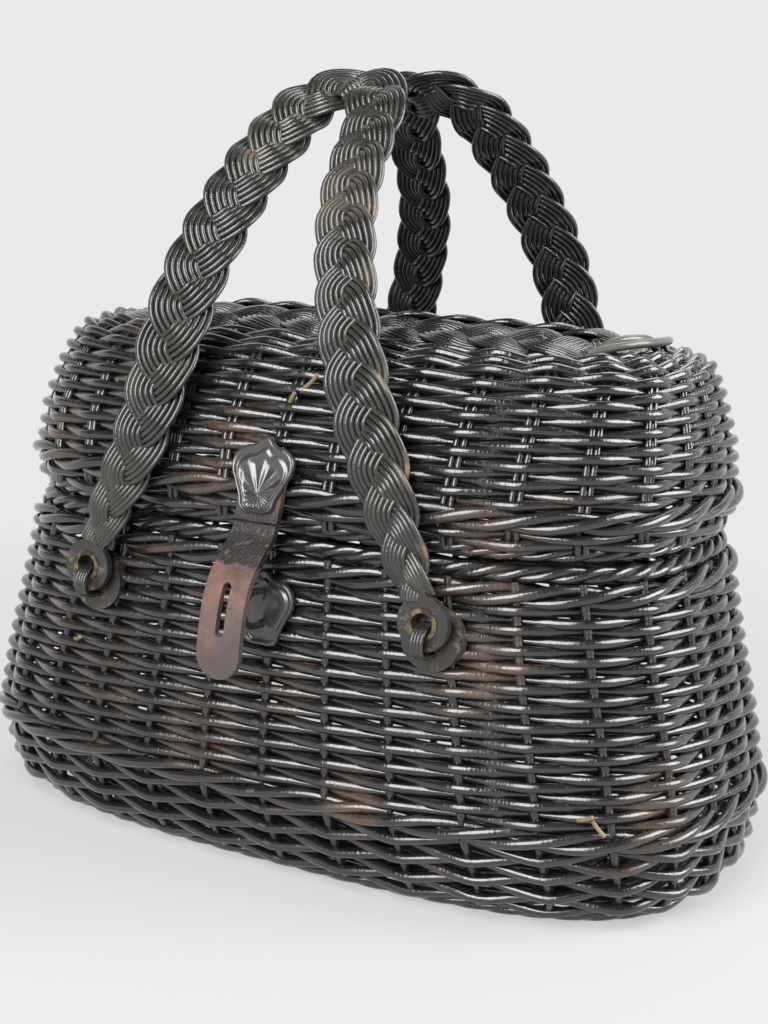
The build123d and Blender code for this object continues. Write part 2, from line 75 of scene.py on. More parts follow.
hinge_y, hinge_z = 103.0, 157.3       # line that the lid turns on
pivot_y, pivot_z = 116.0, 127.5       # line that a handle turns on, from the middle and the floor
handle_feet = (-86.5, 90.5)           # the front handle's eyelets, along the basket
strap_middle = 8.0
strap_fold = 158.0         # height below which the strap is turned aside
paint_edge = 152.0         # height of the chipped edge of the paint on the strap
photo_azimuth = 29.2       # degrees that the photo's view is turned to the right of the front


def smooth_profile(profile, samples=160):
    """A profile's sizes along its own length, with its corners rounded off."""
    lengths = np.concatenate([[0], np.cumsum(np.linalg.norm(np.diff(profile, axis=0), axis=1))])
    at = np.linspace(0, lengths[-1], samples)
    line = np.stack([np.interp(at, lengths, profile[:, i]) for i in range(3)], axis=1)
    for _ in range(samples // 8):
        line[1:-1] = (line[:-2] + 2 * line[1:-1] + line[2:]) / 4
    return line


def facing_table():
    """Direction that the weave faces, against place round the basket in stakes."""
    turn = np.linspace(-math.pi / 2, 1.5 * math.pi, 4801)
    c, s = np.cos(turn), np.sin(turn)
    x = belly_length * np.sign(c) * np.abs(c) ** (2 / oval_power)
    y = belly_width * np.sign(s) * np.abs(s) ** (2 / oval_power)
    run = np.concatenate([[0], np.cumsum(np.hypot(np.diff(x), np.diff(y)))])
    facing = np.unwrap(np.arctan2(
        np.sign(y) * np.abs(y / belly_width) ** (oval_power - 1) / belly_width,
        np.sign(x) * np.abs(x / belly_length) ** (oval_power - 1) / belly_length))
    return run / run[-1] * stake_count - stake_phase, facing


table_place, table_facing = facing_table()


def around(place, half_length, half_width, offset, height):
    """Points on the oval at places counted in stakes, moved out by an offset."""
    place, half_length, half_width, offset, height = np.broadcast_arrays(
        place, half_length, half_width, offset, height)
    whole = np.floor((place + stake_phase) / stake_count)
    facing = np.interp(place - whole * stake_count, table_place, table_facing)
    c, s = np.cos(facing), np.sin(facing)
    power, root = oval_power / (oval_power - 1), 1 / (oval_power - 1)
    scale = ((half_length * np.abs(c)) ** power + (half_width * np.abs(s)) ** power) ** (
        -1 / oval_power)
    x = scale * np.sign(c) * (half_length ** oval_power * np.abs(c)) ** root + offset * c
    y = scale * np.sign(s) * (half_width ** oval_power * np.abs(s)) ** root + offset * s
    return np.stack([x, y, height], axis=-1)


def side_ring(place, height, offset):
    """Points on the body's side at a height, moved out by an offset."""
    height = np.asarray(height, float)
    length = np.interp(height, side_profile[:, 0], side_profile[:, 1])
    width = np.interp(height, side_profile[:, 0], side_profile[:, 2])
    return around(place, length, width, offset, height)


dome = smooth_profile(lid_profile)
dome_run = np.concatenate([[0], np.cumsum(np.hypot(np.diff(dome[:, 0]), np.diff(dome[:, 2])))])
lid_length = dome_run[-1]


def lid_ring(place, run, offset):
    """Points on the lid, with run measured up over the dome from the seam."""
    run = np.asarray(run, float)
    height, length, width = (np.interp(run, dome_run, dome[:, i]) for i in range(3))
    slope_out = np.interp(run, dome_run, np.gradient(dome[:, 2], dome_run))
    slope_up = np.interp(run, dome_run, np.gradient(dome[:, 0], dome_run))
    steep = np.hypot(slope_out, slope_up)
    outward, upward = slope_up / steep, -slope_out / steep
    return around(place, length, width, offset * outward, height + offset * upward)


def unit(vectors):
    return vectors / np.linalg.norm(vectors, axis=1)[:, None]


def even_path(points, spacing, closed=False):
    """Points on a smooth line through the given ones, evenly spaced."""
    curve = bpy.data.curves.new("route", "CURVE")
    curve.dimensions = "3D"
    spline = curve.splines.new("BEZIER")
    spline.bezier_points.add(len(points) - 1)
    for bead, point in zip(spline.bezier_points, points):
        bead.co = Vector(point)
        bead.handle_left_type = bead.handle_right_type = "AUTO"
    spline.use_cyclic_u = closed
    curve.resolution_u = 24
    holder = bpy.data.objects.new("route", curve)
    bpy.context.collection.objects.link(holder)
    bpy.context.view_layer.update()
    mesh = holder.to_mesh()
    line = np.array([v.co[:] for v in mesh.vertices])
    holder.to_mesh_clear()
    bpy.data.objects.remove(holder)
    bpy.data.curves.remove(curve)
    if closed:
        line = np.concatenate([line, line[:1]])
    run = np.concatenate([[0], np.cumsum(np.linalg.norm(np.diff(line, axis=0), axis=1))])
    count = max(8, int(run[-1] / spacing))
    at = np.linspace(0, run[-1], count, endpoint=not closed)
    return np.stack([np.interp(at, run, line[:, i]) for i in range(3)], axis=1), at, run[-1]


# Rods.
def rod_tree():
    """Geometry nodes that lay a round rod along every path of a curve."""
    tree = bpy.data.node_groups.new("Rods along paths", "GeometryNodeTree")
    face = tree.interface
    face.new_socket("Paths", in_out="INPUT", socket_type="NodeSocketGeometry")
    for name, kind, value in (("Rod radius", "NodeSocketFloat", 0.002),
                              ("Sides", "NodeSocketInt", 8),
                              ("Waver", "NodeSocketFloat", 0.0003),
                              ("Waver scale", "NodeSocketFloat", 30.0),
                              ("Seed", "NodeSocketInt", 1)):
        socket = face.new_socket(name, in_out="INPUT", socket_type=kind)
        socket.default_value = value
    face.new_socket("Finish", in_out="INPUT", socket_type="NodeSocketMaterial")
    face.new_socket("Rods", in_out="OUTPUT", socket_type="NodeSocketGeometry")
    nodes, links = tree.nodes, tree.links

    def add(kind, **settings):
        node = nodes.new(kind)
        for key, value in settings.items():
            setattr(node, key, value)
        return node

    start, end = add("NodeGroupInput"), add("NodeGroupOutput")
    where = add("GeometryNodeInputPosition")
    noise = add("ShaderNodeTexNoise", noise_dimensions="4D")
    links.new(where.outputs[0], noise.inputs["Vector"])
    links.new(start.outputs["Waver scale"], noise.inputs["Scale"])
    links.new(start.outputs["Seed"], noise.inputs["W"])
    centred = add("ShaderNodeVectorMath", operation="SUBTRACT")
    links.new(noise.outputs["Color"], centred.inputs[0])
    centred.inputs[1].default_value = (0.5, 0.5, 0.5)
    shift = add("ShaderNodeVectorMath", operation="SCALE")
    links.new(centred.outputs[0], shift.inputs[0])
    links.new(start.outputs["Waver"], shift.inputs["Scale"])
    move = add("GeometryNodeSetPosition")
    links.new(start.outputs["Paths"], move.inputs["Geometry"])
    links.new(shift.outputs[0], move.inputs["Offset"])
    tone = add("FunctionNodeRandomValue", data_type="FLOAT")
    links.new(start.outputs["Seed"], tone.inputs["Seed"])
    keep_tone = add("GeometryNodeStoreNamedAttribute", data_type="FLOAT", domain="CURVE")
    keep_tone.inputs["Name"].default_value = "rod_tone"
    links.new(move.outputs[0], keep_tone.inputs["Geometry"])
    links.new(tone.outputs[1], keep_tone.inputs["Value"])
    along = add("GeometryNodeSplineParameter")
    keep_along = add("GeometryNodeStoreNamedAttribute", data_type="FLOAT", domain="POINT")
    keep_along.inputs["Name"].default_value = "rod_run"
    links.new(keep_tone.outputs[0], keep_along.inputs["Geometry"])
    links.new(along.outputs["Length"], keep_along.inputs["Value"])
    section = add("GeometryNodeCurvePrimitiveCircle", mode="RADIUS")
    links.new(start.outputs["Sides"], section.inputs["Resolution"])
    links.new(start.outputs["Rod radius"], section.inputs["Radius"])
    sweep = add("GeometryNodeCurveToMesh")
    links.new(keep_along.outputs[0], sweep.inputs["Curve"])
    links.new(section.outputs[0], sweep.inputs["Profile Curve"])
    sweep.inputs["Fill Caps"].default_value = True
    smooth = add("GeometryNodeSetShadeSmooth")
    links.new(sweep.outputs[0], smooth.inputs["Geometry"])
    real = add("GeometryNodeRealizeInstances")
    links.new(smooth.outputs[0], real.inputs[0])
    finish = add("GeometryNodeSetMaterial")
    links.new(real.outputs[0], finish.inputs["Geometry"])
    links.new(start.outputs["Finish"], finish.inputs["Material"])
    links.new(finish.outputs[0], end.inputs[0])
    return tree


rods_along = rod_tree()


def socket_id(name):
    return next(item.identifier for item in rods_along.interface.items_tree
                if item.name == name and item.in_out == "INPUT")


def rod_piece(name, body, paths, finish, slot, radius, replaces=(), sides=8, waver=0.25,
              waver_scale=35.0, seed=1):
    """One mesh of rods. A path is points, whether it is closed, and radius shares."""
    curve = bpy.data.curves.new(name + "_paths", "CURVE")
    curve.dimensions = "3D"
    for points, closed, shares in paths:
        spline = curve.splines.new("POLY")
        spline.points.add(len(points) - 1)
        flat = np.ones((len(points), 4))
        flat[:, :3] = np.asarray(points) * MM
        spline.points.foreach_set("co", flat.ravel())
        spline.points.foreach_set("radius", np.broadcast_to(shares, len(points)).astype(float))
        spline.use_cyclic_u = closed
    holder = bpy.data.objects.new(name + "_paths", curve)
    bpy.context.collection.objects.link(holder)
    layer = holder.modifiers.new("Rods", "NODES")
    layer.node_group = rods_along
    for key, value in (("Rod radius", radius * MM), ("Sides", sides), ("Waver", waver * MM),
                       ("Waver scale", waver_scale), ("Seed", seed), ("Finish", finish)):
        layer[socket_id(key)] = value
    bpy.context.view_layer.update()
    ready = holder.evaluated_get(bpy.context.evaluated_depsgraph_get())
    mesh = bpy.data.meshes.new_from_object(ready)
    piece = bpy.data.objects.new(name, mesh)
    bpy.data.objects.remove(holder)
    bpy.data.curves.remove(curve)
    bpy.context.collection.objects.link(piece)
    if not mesh.materials:
        mesh.materials.append(finish)
    settle(piece, body, replaces)


def settle(piece, body, replaces=()):
    """Says what a piece rides on and hides the solids that it stands for."""
    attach(piece, body)
    if replaces:
        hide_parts(*replaces)


# Finishes.
class Finish:
    """A material under construction, with short calls for its nodes."""

    def __init__(self, name):
        self.material = bpy.data.materials.new(name)
        self.material.use_nodes = True
        self.nodes = self.material.node_tree.nodes
        self.links = self.material.node_tree.links
        self.shader = self.nodes["Principled BSDF"]
        self.place = self.nodes.new("ShaderNodeTexCoord").outputs["Object"]

    def put(self, target, value):
        if hasattr(value, "links"):
            self.links.new(value, target)
        else:
            target.default_value = value

    def shade(self, **values):
        for key, value in values.items():
            self.put(self.shader.inputs[key.replace("_", " ").title().replace("Ior", "IOR")], value)

    def noise(self, scale, detail=3.0, rough=0.55, vector=None):
        node = self.nodes.new("ShaderNodeTexNoise")
        self.put(node.inputs["Vector"], self.place if vector is None else vector)
        node.inputs["Scale"].default_value = scale
        node.inputs["Detail"].default_value = detail
        node.inputs["Roughness"].default_value = rough
        return node.outputs["Fac"]

    def math(self, operation, a, b=0.0, clamp=False):
        node = self.nodes.new("ShaderNodeMath")
        node.operation, node.use_clamp = operation, clamp
        self.put(node.inputs[0], a)
        self.put(node.inputs[1], b)
        return node.outputs[0]

    def ramp(self, value, low, high, out_low=0.0, out_high=1.0):
        node = self.nodes.new("ShaderNodeMapRange")
        node.interpolation_type = "SMOOTHSTEP"
        for key, number in (("Value", value), ("From Min", low), ("From Max", high),
                            ("To Min", out_low), ("To Max", out_high)):
            self.put(node.inputs[key], number)
        return node.outputs["Result"]

    def blend(self, share, first, second):
        node = self.nodes.new("ShaderNodeMix")
        node.data_type = "RGBA"
        self.put(node.inputs[0], share)
        self.put(node.inputs[6], first)
        self.put(node.inputs[7], second)
        return node.outputs[2]

    def attribute(self, name):
        node = self.nodes.new("ShaderNodeAttribute")
        node.attribute_name = name
        return node.outputs["Fac"]

    def spots(self, places):
        """1 inside each of the worn places, given in mm with a radius, 0 away from them."""
        total = 0.0
        for x, y, z, radius in places:
            gap = self.nodes.new("ShaderNodeVectorMath")
            gap.operation = "DISTANCE"
            self.put(gap.inputs[0], self.place)
            gap.inputs[1].default_value = (x * MM, y * MM, z * MM)
            near = self.ramp(gap.outputs["Value"], radius * MM, 0.25 * radius * MM)
            total = near if total == 0.0 else self.math("MAXIMUM", total, near)
        return total

    def bump(self, height, strength, distance):
        node = self.nodes.new("ShaderNodeBump")
        node.inputs["Strength"].default_value = strength
        node.inputs["Distance"].default_value = distance
        self.put(node.inputs["Height"], height)
        self.put(self.shader.inputs["Normal"], node.outputs["Normal"])


def colour(r, g, b):
    return (r, g, b, 1.0)


# Places that hands and tables rub, each with its radius.
worn_places = [
    (-14, -110, 199, 30), (-26, -110, 182, 26), (112, -110, 166, 34), (-22, -114, 62, 38),
    (118, -112, 120, 36), (60, -114, 45, 26), (-120, -95, 190, 28), (170, -60, 60, 36),
    (10, -60, 300, 40), (90, 100, 120, 50), (-60, 110, 190, 40), (-150, 60, 60, 45)]

# Places on the handles where fingers wear the paint through, each with its radius.
thumbed_places = [
    (35, -80, 304, 11), (49, -98, 276, 12), (66, -112, 237, 12), (82, -119, 200, 12),
    (93, -119, 168, 10), (-38, -62, 326, 9), (-35, 80, 304, 11), (-66, 112, 237, 12)]


def painted_willow(name, paint, worn, bare, gloss, wear, coat=0.66, thumbed=0.0):
    """Gloss paint over a willow rod, rubbed down to brown where hands and tables reach."""
    f = Finish(name)
    tone = f.attribute("rod_tone")
    along = f.nodes.new("ShaderNodeCombineXYZ")
    f.put(along.inputs[0], f.attribute("rod_run"))
    f.put(along.inputs[1], f.math("MULTIPLY", tone, 9.0))
    stretch = f.noise(13.0, 2.0, 0.5, along.outputs[0])
    patches = f.noise(16.0, 4.0, 0.6)
    flecks = f.noise(420.0, 2.0, 0.7)
    near = f.spots(worn_places)
    rubbed = f.math("ADD", f.math("MULTIPLY", patches, 0.45), f.math("MULTIPLY", flecks, 0.20))
    rubbed = f.math("ADD", rubbed, f.math("MULTIPLY", stretch, 0.50))
    rubbed = f.math("ADD", rubbed, f.math("MULTIPLY", near, 0.17))
    if thumbed:
        rubbed = f.math("ADD", rubbed, f.math("MULTIPLY", f.spots(thumbed_places), thumbed))
    brown = f.ramp(rubbed, 0.62 - wear, 0.84 - wear)
    raw = f.ramp(rubbed, 0.86 - wear, 0.93 - wear)
    tint = f.blend(f.noise(60.0), paint, colour(*(1.9 * v for v in paint[:3])))
    body = f.blend(f.math("MULTIPLY", brown, 0.8), tint, worn)
    f.shade(base_color=f.blend(raw, body, bare))
    dull = f.ramp(f.noise(90.0, 3.0), 0.35, 0.7, gloss, gloss + 0.12)
    faded = f.math("MULTIPLY", f.ramp(f.noise(26.0, 3.0, 0.6), 0.50, 0.64), 0.10)
    dull = f.math("ADD", dull, f.math("ADD", faded, f.math("MULTIPLY", tone, 0.05)))
    rough = f.math("ADD", dull, f.math("MULTIPLY", brown, 0.15), clamp=True)
    f.shade(roughness=rough, specular_ior_level=0.6, coat_weight=coat, coat_roughness=0.1)
    skin =f.math("ADD", f.noise(700.0, 2.0), f.math("MULTIPLY", f.noise(140.0, 3.0), 1.4))
    fibres = f.noise(900.0, 1.0, 0.4, along.outputs[0])
    f.bump(f.math("ADD", skin, fibres), 0.34, 0.0005)
    return f.material


black_willow = painted_willow("Black painted willow", colour(0.0085, 0.0080, 0.0078),
                              colour(0.085, 0.049, 0.032), colour(0.26, 0.15, 0.08), 0.10, 0.0)
# The rear handle's copy of the charcoal painted cane, with painted shade: its paint is made darker
# because that handle stands in shade.
shaded_charcoal_cane = painted_willow("Charcoal painted cane with painted shade", colour(0.0070, 0.0070, 0.0065),
                            colour(0.045, 0.036, 0.028), colour(0.18, 0.10, 0.06), 0.20, -0.02,
                            coat=0.4, thumbed=0.2)
charcoal_cane = painted_willow("Charcoal painted cane", colour(0.0120, 0.0123, 0.0102),
                               colour(0.070, 0.058, 0.040), colour(0.23, 0.130, 0.065), 0.22, 0.01,
                               coat=0.5, thumbed=0.26)


def worn_leather():
    """Bare brown leather, with its black paint left above a chipped edge."""
    f = Finish("Worn brown leather")
    cloud = f.noise(45.0, 5.0, 0.6)
    fine = f.noise(520.0, 3.0, 0.65)
    grime = f.ramp(f.noise(34.0, 4.0, 0.7), 0.44, 0.60)
    cloud = f.ramp(cloud, 0.36, 0.64)
    base = f.blend(cloud, colour(0.046, 0.027, 0.022), colour(0.185, 0.084, 0.064))
    base = f.blend(f.math("MULTIPLY", grime, 0.8), base, colour(0.075, 0.066, 0.060))
    base = f.blend(f.ramp(fine, 0.60, 0.75, 0.0, 0.6), base, colour(0.27, 0.165, 0.130))
    height = f.nodes.new("ShaderNodeSeparateXYZ")
    f.put(height.inputs[0], f.place)
    edge = f.math("ADD", height.outputs[2], f.math("MULTIPLY", f.noise(160.0, 4.0, 0.7), 0.016))
    base = f.blend(f.ramp(edge, 0.136, 0.116, 0.0, 0.7), base, colour(0.066, 0.056, 0.054))
    stains = f.ramp(f.noise(70.0, 3.0), 0.52, 0.62, 0.0, 0.5)
    base = f.blend(stains, base, colour(0.060, 0.040, 0.034))
    painted =f.ramp(edge, (paint_edge + 6.5) * MM, (paint_edge + 8.5) * MM)
    painted = f.math("MULTIPLY", painted, f.ramp(edge, 0.186, 0.178, 0.45, 1.0))
    flaked = f.math("MULTIPLY", painted, f.ramp(f.noise(240.0, 4.0, 0.7), 0.66, 0.60))
    base = f.blend(flaked, base, colour(0.020, 0.018, 0.017))
    f.shade(base_color=base, roughness=f.ramp(flaked, 0.0, 1.0, 0.72, 0.36))
    cracks = f.nodes.new("ShaderNodeTexVoronoi")
    cracks.feature = "DISTANCE_TO_EDGE"
    cracks.inputs["Scale"].default_value = 700.0
    f.put(cracks.inputs["Vector"], f.place)
    crease = f.ramp(cracks.outputs["Distance"], 0.0, 0.12)
    f.bump(f.math("ADD", crease, f.math("MULTIPLY", fine, 0.8)), 0.35, 0.0004)
    return f.material


def aged_brass():
    f = Finish("Tarnished brass")
    tarnish = f.ramp(f.noise(260.0, 4.0, 0.65), 0.34, 0.56)
    f.shade(base_color=f.blend(tarnish, colour(0.30, 0.215, 0.12), colour(0.055, 0.043, 0.032)),
            metallic=0.75, roughness=f.ramp(tarnish, 0.0, 1.0, 0.34, 0.62))
    f.bump(f.noise(900.0, 2.0), 0.2, 0.0002)
    return f.material


def black_iron():
    f = Finish("Worn black enamel on iron")
    chips = f.ramp(f.noise(330.0, 4.0, 0.7), 0.62, 0.70)
    rust = f.blend(f.noise(120.0), colour(0.10, 0.05, 0.03), colour(0.20, 0.17, 0.15))
    f.shade(base_color=f.blend(f.math("MULTIPLY", chips, 0.7), colour(0.085, 0.082, 0.080), rust),
            metallic=0.65, roughness=f.ramp(f.noise(200.0), 0.3, 0.7, 0.20, 0.38),
            coat_weight=0.7, coat_roughness=0.1)
    f.bump(f.noise(800.0, 3.0), 0.25, 0.0003)
    return f.material


def black_leather():
    """Leather discs and tabs under old black paint, scuffed to grey brown."""
    f = Finish("Black painted leather")
    scuff = f.math("ADD", f.math("MULTIPLY", f.noise(70.0, 4.0, 0.65), 0.8),
                   f.math("MULTIPLY", f.noise(600.0, 2.0, 0.6), 0.3))
    bare = f.ramp(scuff, 0.56, 0.70)
    f.shade(base_color=f.blend(bare, colour(0.024, 0.021, 0.019), colour(0.115, 0.092, 0.078)),
            roughness=f.ramp(bare, 0.0, 1.0, 0.30, 0.55), coat_weight=0.3, coat_roughness=0.2)
    f.bump(f.math("ADD", f.noise(420.0, 4.0, 0.65), f.noise(90.0, 2.0)), 0.4, 0.0005)
    return f.material


leather, brass, iron = worn_leather(), aged_brass(), black_iron()
foot_leather = black_leather()


def refinish(finish, *nodes):
    """Gives CAD nodes, whose shape is right, a better finish."""
    for node in nodes:
        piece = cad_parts[node]
        for slot in piece.material_slots:
            slot.material = finish


refinish(foot_leather, "front_handle_discs", "rear_handle_discs", "front_handle_tabs",
         "rear_handle_tabs")
refinish(leather, "strap", "strap_root")
refinish(brass, "front_handle_eyelets", "rear_handle_eyelets")
refinish(iron, "staple")


# Shields of the latch: a point on top, round shoulders, and sides drawn in to a narrow foot.
shield_outline = [(0.0, 1.0), (0.30, 0.80), (0.66, 0.70), (0.93, 0.46), (0.97, 0.14),
                  (0.80, -0.22), (0.60, -0.62), (0.46, -0.95)]
shield_foot = (0.0, -1.02)
shield_field = 0.69        # share of the outline inside which the flutes or the boss rise

# Rings of the pressing from the rim in: share of the outline, and share of the depth.
shield_rings = [(1.0, 0.0), (1.0, 0.55), (0.97, 0.85), (0.93, 0.95), (0.88, 0.72), (0.84, 0.45),
                (0.80, 0.45), (0.76, 0.72), (0.71, 0.78), (0.66, 0.55), (0.58, 0.50),
                (0.48, 0.55), (0.36, 0.62), (0.24, 0.66), (0.12, 0.68)]


def shield(name, body, node, middle, lean, fluted):
    """Pressed shield: a rolled rim, a second ridge, and flutes that fan out or a boss."""
    half_width, half_height, depth = 16.0, 16.6, 3.0
    flutes, flute_depth, boss_depth = 11, 0.16 * depth, 0.55 * depth
    right = np.array(shield_outline)
    loop = np.concatenate([right, [shield_foot], right[:0:-1] * (-1, 1)])
    loop = even_path(np.column_stack([loop, np.zeros(len(loop))]) * 100, 2.6, closed=True)[0]
    loop = loop[:, :2] / 100
    focus = np.array([0.0, -0.55 if fluted else -0.05])
    turn = np.arctan2(loop[:, 0] - focus[0], loop[:, 1] - focus[1])
    points, faces, count = [], [], len(loop)
    for share, rise in shield_rings:
        ring = focus + (loop - focus) * share
        high = np.full(count, rise * depth)
        if share < shield_field:
            fan = flute_depth * np.cos(turn * flutes) * min(1.0, share / 0.3)
            high += fan if fluted else (1 - share) * boss_depth
        points += [(x * half_width, y * half_height, z) for (x, y), z in zip(ring, high)]
    points.append((focus[0] * half_width, focus[1] * half_height, points[-1][2]))
    points.append((0.0, 0.0, 0.0))
    last = (len(shield_rings) - 1) * count
    for k in range(count):
        after = (k + 1) % count
        faces += [(low + k, low + after, low + count + after, low + count + k)
                  for low in range(0, last, count)]
        faces.append((last + k, last + after, len(points) - 2))
        faces.append((after, k, len(points) - 1))
    tip = math.radians(lean)
    facing = Matrix(((1, 0, 0), (0, math.sin(tip), -math.cos(tip)),
                     (0, math.cos(tip), math.sin(tip))))
    mesh = bpy.data.meshes.new(name)
    mesh.from_pydata([(facing @ Vector(p) + Vector(middle)) * MM for p in points], [], faces)
    work = bmesh.new()
    work.from_mesh(mesh)
    bmesh.ops.recalc_face_normals(work, faces=work.faces)
    work.to_mesh(mesh)
    work.free()
    mesh.polygons.foreach_set("use_smooth", [True] * len(mesh.polygons))
    mesh.materials.append(iron)
    piece = bpy.data.objects.new(name, mesh)
    bpy.context.collection.objects.link(piece)
    settle(piece, body, (node,))


# Weave of the basket.
def willow_piece(name, body, paths, radius, replaces=(), **settings):
    """One mesh of rods in the basket's own black willow."""
    rod_piece(name, body, paths, black_willow, "black_willow", radius, replaces, **settings)


def woven_rows(ring, levels, offset, swing, rng, thickness=1.0, dip=0.0, stray=0.3):
    """Closed rows that pass in front of one stake, where they dip, and behind the next."""
    butt, tip_thinner, sideways = 1.04, 0.10, 0.25
    place = np.arange(stake_count * steps_per_stake) / steps_per_stake
    paths = []
    for row, level in enumerate(levels):
        turn = math.pi * (place + row)
        wave = np.arcsin(bend_sharpness * np.cos(turn)) / math.asin(bend_sharpness)
        joint = rng.uniform(0, stake_count)
        taper = butt - tip_thinner * (((place + joint) / rod_reach) % 1.0)
        drift = stray * np.sin(2 * math.pi * (place / stake_count * rng.integers(2, 5)
                                             + rng.uniform()))
        lean = sideways * np.sin(turn) - dip * wave
        points = ring(place, level + drift + lean, offset + swing * wave)
        paths.append((points, True, taper * thickness * rng.uniform(0.95, 1.04)))
    return paths


def upright_rods(ring, low, high, offset, spread=(0.0,), steps=26):
    """Stakes: one rod, or a pair side by side, at each place round the basket."""
    levels = np.linspace(low, high, steps)
    paths = []
    for k in range(stake_count):
        for gap in spread:
            middle = ring(np.full(steps, float(k)), levels, offset)
            beside = ring(np.full(steps, k + 0.05), levels, offset)
            along = beside - middle
            along /= np.linalg.norm(along, axis=1)[:, None]
            paths.append((middle + along * gap, False, 1.0))
    return paths


def rope_ring(ring, level, offset, rise, swing, stakes_per_turn):
    """Three strands laid round the basket as a rope, drawn as one long closed rod."""
    round_all = stake_count * rope_strands
    place = np.arange(round_all * steps_per_stake) / steps_per_stake
    turns = round(round_all / stakes_per_turn)
    while turns % rope_strands == 0:
        turns += 1
    phase = 2 * math.pi * turns * place / round_all
    return [(ring(place, level + rise * np.sin(phase), offset + swing * np.cos(phase)), True, 1.0)]


rng = np.random.default_rng(11)
foot_rows = woven_rows(side_ring, np.arange(7.6, 38.5, 5.0), -stake_depth, weave_swing, rng,
                       thickness=0.95, dip=2.0)
side_rows = woven_rows(side_ring, np.arange(51.5, 143.0, row_pitch), -stake_depth, weave_swing, rng,
                       dip=-0.45)
belly_wale = rope_ring(side_ring, level=45.0, offset=-stake_depth + 1.2, rise=2.9, swing=3.4,
                       stakes_per_turn=wale_turn)
rim_wale = rope_ring(side_ring, level=147.6, offset=-stake_depth + 0.6, rise=3.0, swing=3.4,
                     stakes_per_turn=wale_turn)
rim_border = rope_ring(side_ring, level=156.4, offset=-4.9, rise=2.0, swing=2.2,
                       stakes_per_turn=border_turn)
stakes = upright_rods(side_ring, low=3.5, high=153.0, offset=-stake_depth)
willow_piece("foot_rows", "basket", foot_rows, rod_radius, ("foot_weave",), seed=2)
willow_piece("side_rows", "basket", side_rows, rod_radius, ("side_weave",), seed=3, waver=0.5)
willow_piece("belly_wale", "basket", belly_wale, 2.4, ("lower_wale",), seed=4)
willow_piece("rim_wale_rods", "basket", rim_wale, 2.4, ("rim_wale",), seed=5)
willow_piece("rim_border", "basket", rim_border, 2.2, ("rim_rod",), seed=6)
willow_piece("stakes", "basket", stakes, stake_radius, ("side_stakes",), seed=7, waver=0.8)


# Base.
def base_rings():
    """Closed rings of rods that pass over one short stick of the base and under the next."""
    steps_per_place, ring_pitch, least_width = 6, 4.3, 3.0
    middle_height, swing, stick_gap = 4.3, 1.9, 36.0
    base_length, base_width = side_profile[0, 1:]
    place = np.arange(stake_count * steps_per_place) / steps_per_place
    paths = []
    for row, inset in enumerate(np.arange(8.5, 74.0, ring_pitch)):
        width = max(base_width - inset, least_width)
        points = around(place, base_length - inset, width, 0.0, middle_height)
        points[:, 2] += swing * np.cos(math.pi * points[:, 0] / stick_gap + math.pi * row)
        paths.append((points, True, 0.93))
    return paths


foot_border = rope_ring(side_ring, level=3.3, offset=-3.2, rise=1.0, swing=2.2,
                        stakes_per_turn=border_turn)
willow_piece("base_rods", "basket", base_rings(), 2.1, ("base_weave",), seed=8, waver=0.1)
willow_piece("foot_border", "basket", foot_border, 2.1, seed=9)
refinish(black_willow, "base_long_sticks", "base_short_sticks")

# Lid: two rows in the skirt, the crown's rows, wale, border and paired stakes.
lid_row_pitch, lid_row_depth = 4.1, 2.6
skirt_rows = woven_rows(lid_ring, np.array([7.2, 11.4]), -lid_row_depth, 2.9, rng, thickness=0.9)
crown_rows = woven_rows(lid_ring, np.arange(25.5, lid_length - 1.0, lid_row_pitch),
                        -lid_row_depth, 3.1, rng, thickness=0.80, dip=0.9, stray=0.6)
lid_wale = rope_ring(lid_ring, level=18.4, offset=-0.7, rise=3.1, swing=3.2,
                     stakes_per_turn=wale_turn)
lid_border = rope_ring(lid_ring, level=3.2, offset=-4.6, rise=1.6, swing=1.9,
                       stakes_per_turn=border_turn)
lid_stakes = upright_rods(lid_ring, low=4.0, high=lid_length, offset=-2.4, spread=(-1.65, 1.65),
                          steps=34)
willow_piece("lid_skirt_rows", "lid", skirt_rows, rod_radius, ("lid_skirt",), seed=12)
willow_piece("lid_crown_rows", "lid", crown_rows, rod_radius, ("lid_crown",), seed=13, waver=1.3,
             waver_scale=22.0)
willow_piece("lid_wale_rods", "lid", lid_wale, 2.5, ("lid_wale",), seed=14)
willow_piece("lid_border_rods", "lid", lid_border, 1.75, ("lid_border",), seed=15)
willow_piece("lid_stake_pairs", "lid", lid_stakes, 1.6, ("lid_stakes",), seed=16, waver=0.7)

# Flat top of the lid, inside the last row of the dome.
top_length, top_width, top_height = 141.0, 60.0, 243.6


def lid_top_rows():
    """Rows that fill the flat top, under the plaited band, and one rod along its middle."""
    row_pitch_in, end_share, swing = 4.3, 0.75, 1.7
    spine_length, spine_stray, spine_swing = 101.0, 0.3, 0.9
    place = np.arange(stake_count * steps_per_stake) / steps_per_stake
    paths = []
    for row, inset in enumerate(np.arange(1.0, 58.0, row_pitch_in)):
        height = top_height + swing * np.cos(math.pi * (place + row))
        points = around(place, top_length - end_share * inset, top_width - inset, 0.0, height)
        paths.append((points, True, 0.95))
    x = np.linspace(-spine_length, spine_length, 60)
    y = spine_stray * np.sin(x / 9.0)
    z = top_height + spine_swing * np.cos(x / 7.0)
    paths.append((np.stack([x, y, z], axis=1), False, 1.05))
    return paths


